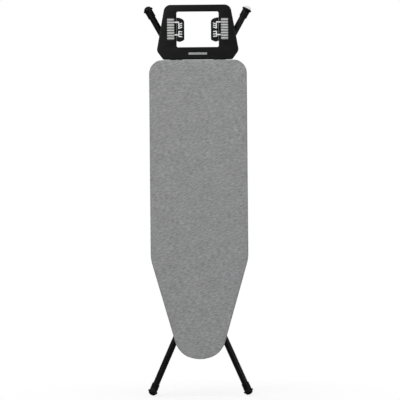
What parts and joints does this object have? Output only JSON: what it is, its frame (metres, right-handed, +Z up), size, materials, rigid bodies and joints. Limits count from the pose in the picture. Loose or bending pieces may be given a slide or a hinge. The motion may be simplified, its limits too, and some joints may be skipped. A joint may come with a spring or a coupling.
{
  "type": "ironing board",
  "caption": "Folding ironing board with padded steel-mesh top, crossing tube legs on a clamped height track, and a framed iron rest with turn-up side wings.",
  "frame": {"origin": "middle of the lower edge of the iron rest's top bar, halfway through its thickness, where a wall hook carries the folded board", "axes": "+Z up along the board from nose to tail, +Y from the ironing face to the folded legs, +X across the board to its right as seen from the ironing face"},
  "size_m": [0.4192, 0.07, 1.5164],
  "materials": {
    "cover_fabric": "woven cotton, grey",
    "foam": "open-cell foam",
    "grey_steel": "powder coat, satin",
    "black_steel": "powder coat, semi-gloss",
    "zinc_steel": "zinc plated",
    "black_plastic": "fine-textured moulding",
    "pale_silicone": "satin silicone"
  },
  "bodies": {
    "board": {"cover": "cover_fabric", "pad": "foam", "mesh_top": "grey_steel", "edge_rim": "grey_steel", "rib_nose": "grey_steel", "rib_pivot": "grey_steel", "rib_middle": "grey_steel", "rib_tail": "grey_steel", "height_track": "grey_steel", "pivot_bracket_left": "grey_steel", "pivot_bracket_right": "grey_steel", "pivot_bolt_left": "black_steel", "pivot_bolt_right": "black_steel", "pivot_nut_left": "zinc_steel", "pivot_nut_right": "zinc_steel", "rest_frame": "black_plastic", "rest_badge": "pale_silicone", "rest_arm_left": "black_steel", "rest_arm_right": "black_steel", "rib_screw_left": "zinc_steel", "rib_screw_right": "zinc_steel", "rest_screw_left": "zinc_steel", "rest_screw_right": "zinc_steel", "heat_pad_left": "pale_silicone", "heat_pad_right": "pale_silicone", "wing_pin_left": "black_steel", "wing_pin_right": "black_steel"},
    "outer_legs": {"outer_leg_left": "black_steel", "outer_leg_right": "black_steel", "outer_plug_left": "black_plastic", "outer_plug_right": "black_plastic", "outer_brace": "black_steel", "upper_foot_left": "black_plastic", "upper_foot_right": "black_plastic"},
    "inner_legs": {"inner_leg_left": "black_steel", "inner_leg_right": "black_steel", "inner_plug_left": "black_plastic", "inner_plug_right": "black_plastic", "inner_brace": "black_steel", "slider_bar": "zinc_steel", "lower_foot_left": "black_plastic", "lower_foot_right": "black_plastic", "cross_bolt_left": "zinc_steel", "cross_bolt_right": "zinc_steel", "cross_nut_left": "zinc_steel", "cross_nut_right": "zinc_steel", "cross_spacer_left": "black_plastic", "cross_spacer_right": "black_plastic"},
    "carriage": {"slide_carriage": "black_plastic", "clamp_pin": "zinc_steel", "clamp_spring": "zinc_steel"},
    "release": {"clamp_lever": "zinc_steel", "release_paddle": "black_plastic"},
    "glide": {"levelling_glide": "pale_silicone"},
    "wing_left": {"wing_left": "black_plastic", "wing_strap_upper_left": "pale_silicone", "wing_strap_lower_left": "pale_silicone"},
    "wing_right": {"wing_right": "black_plastic", "wing_strap_upper_right": "pale_silicone", "wing_strap_lower_right": "pale_silicone"}
  },
  "joints": [
    {"name": "fold", "type": "hinge", "parent": "board", "child": "outer_legs", "pos_m": [0, 0.03099, -1.1685], "axis": [-1, 0, 0], "range_deg": [0, 46]},
    {"name": "leg_cross", "type": "hinge", "parent": "outer_legs", "child": "inner_legs", "pos_m": [0, 0.03099, -0.734], "axis": [1, 0, 0], "range_deg": [0, 92]},
    {"name": "carriage_turn", "type": "hinge", "parent": "inner_legs", "child": "carriage", "pos_m": [0, 0.03099, -0.2995], "axis": [-1, 0, 0], "range_deg": [0, 46]},
    {"name": "release_press", "type": "hinge", "parent": "carriage", "child": "release", "pos_m": [0, 0.03299, -0.3175], "axis": [1, 0, 0], "range_deg": [0, 5], "stiffness_Nm_per_rad": 0.6, "springref_deg": -11.46},
    {"name": "foot_level", "type": "slide", "parent": "outer_legs", "child": "glide", "axis": [0.4848, 0, 0.8746], "range_m": [0, 0.008]},
    {"name": "wing_left_turn", "type": "hinge", "parent": "board", "child": "wing_left", "pos_m": [-0.0865, -0.0146, -0.0686], "axis": [0, 0, -1], "range_deg": [0, 90]},
    {"name": "wing_right_turn", "type": "hinge", "parent": "board", "child": "wing_right", "pos_m": [0.0865, -0.0146, -0.0686], "axis": [0, 0, 1], "range_deg": [0, 90]}
  ],
  "couplings": [
    {"joint": "leg_cross", "follows": "fold", "ratio": 2},
    {"joint": "carriage_turn", "follows": "fold", "ratio": 1}
  ]
}
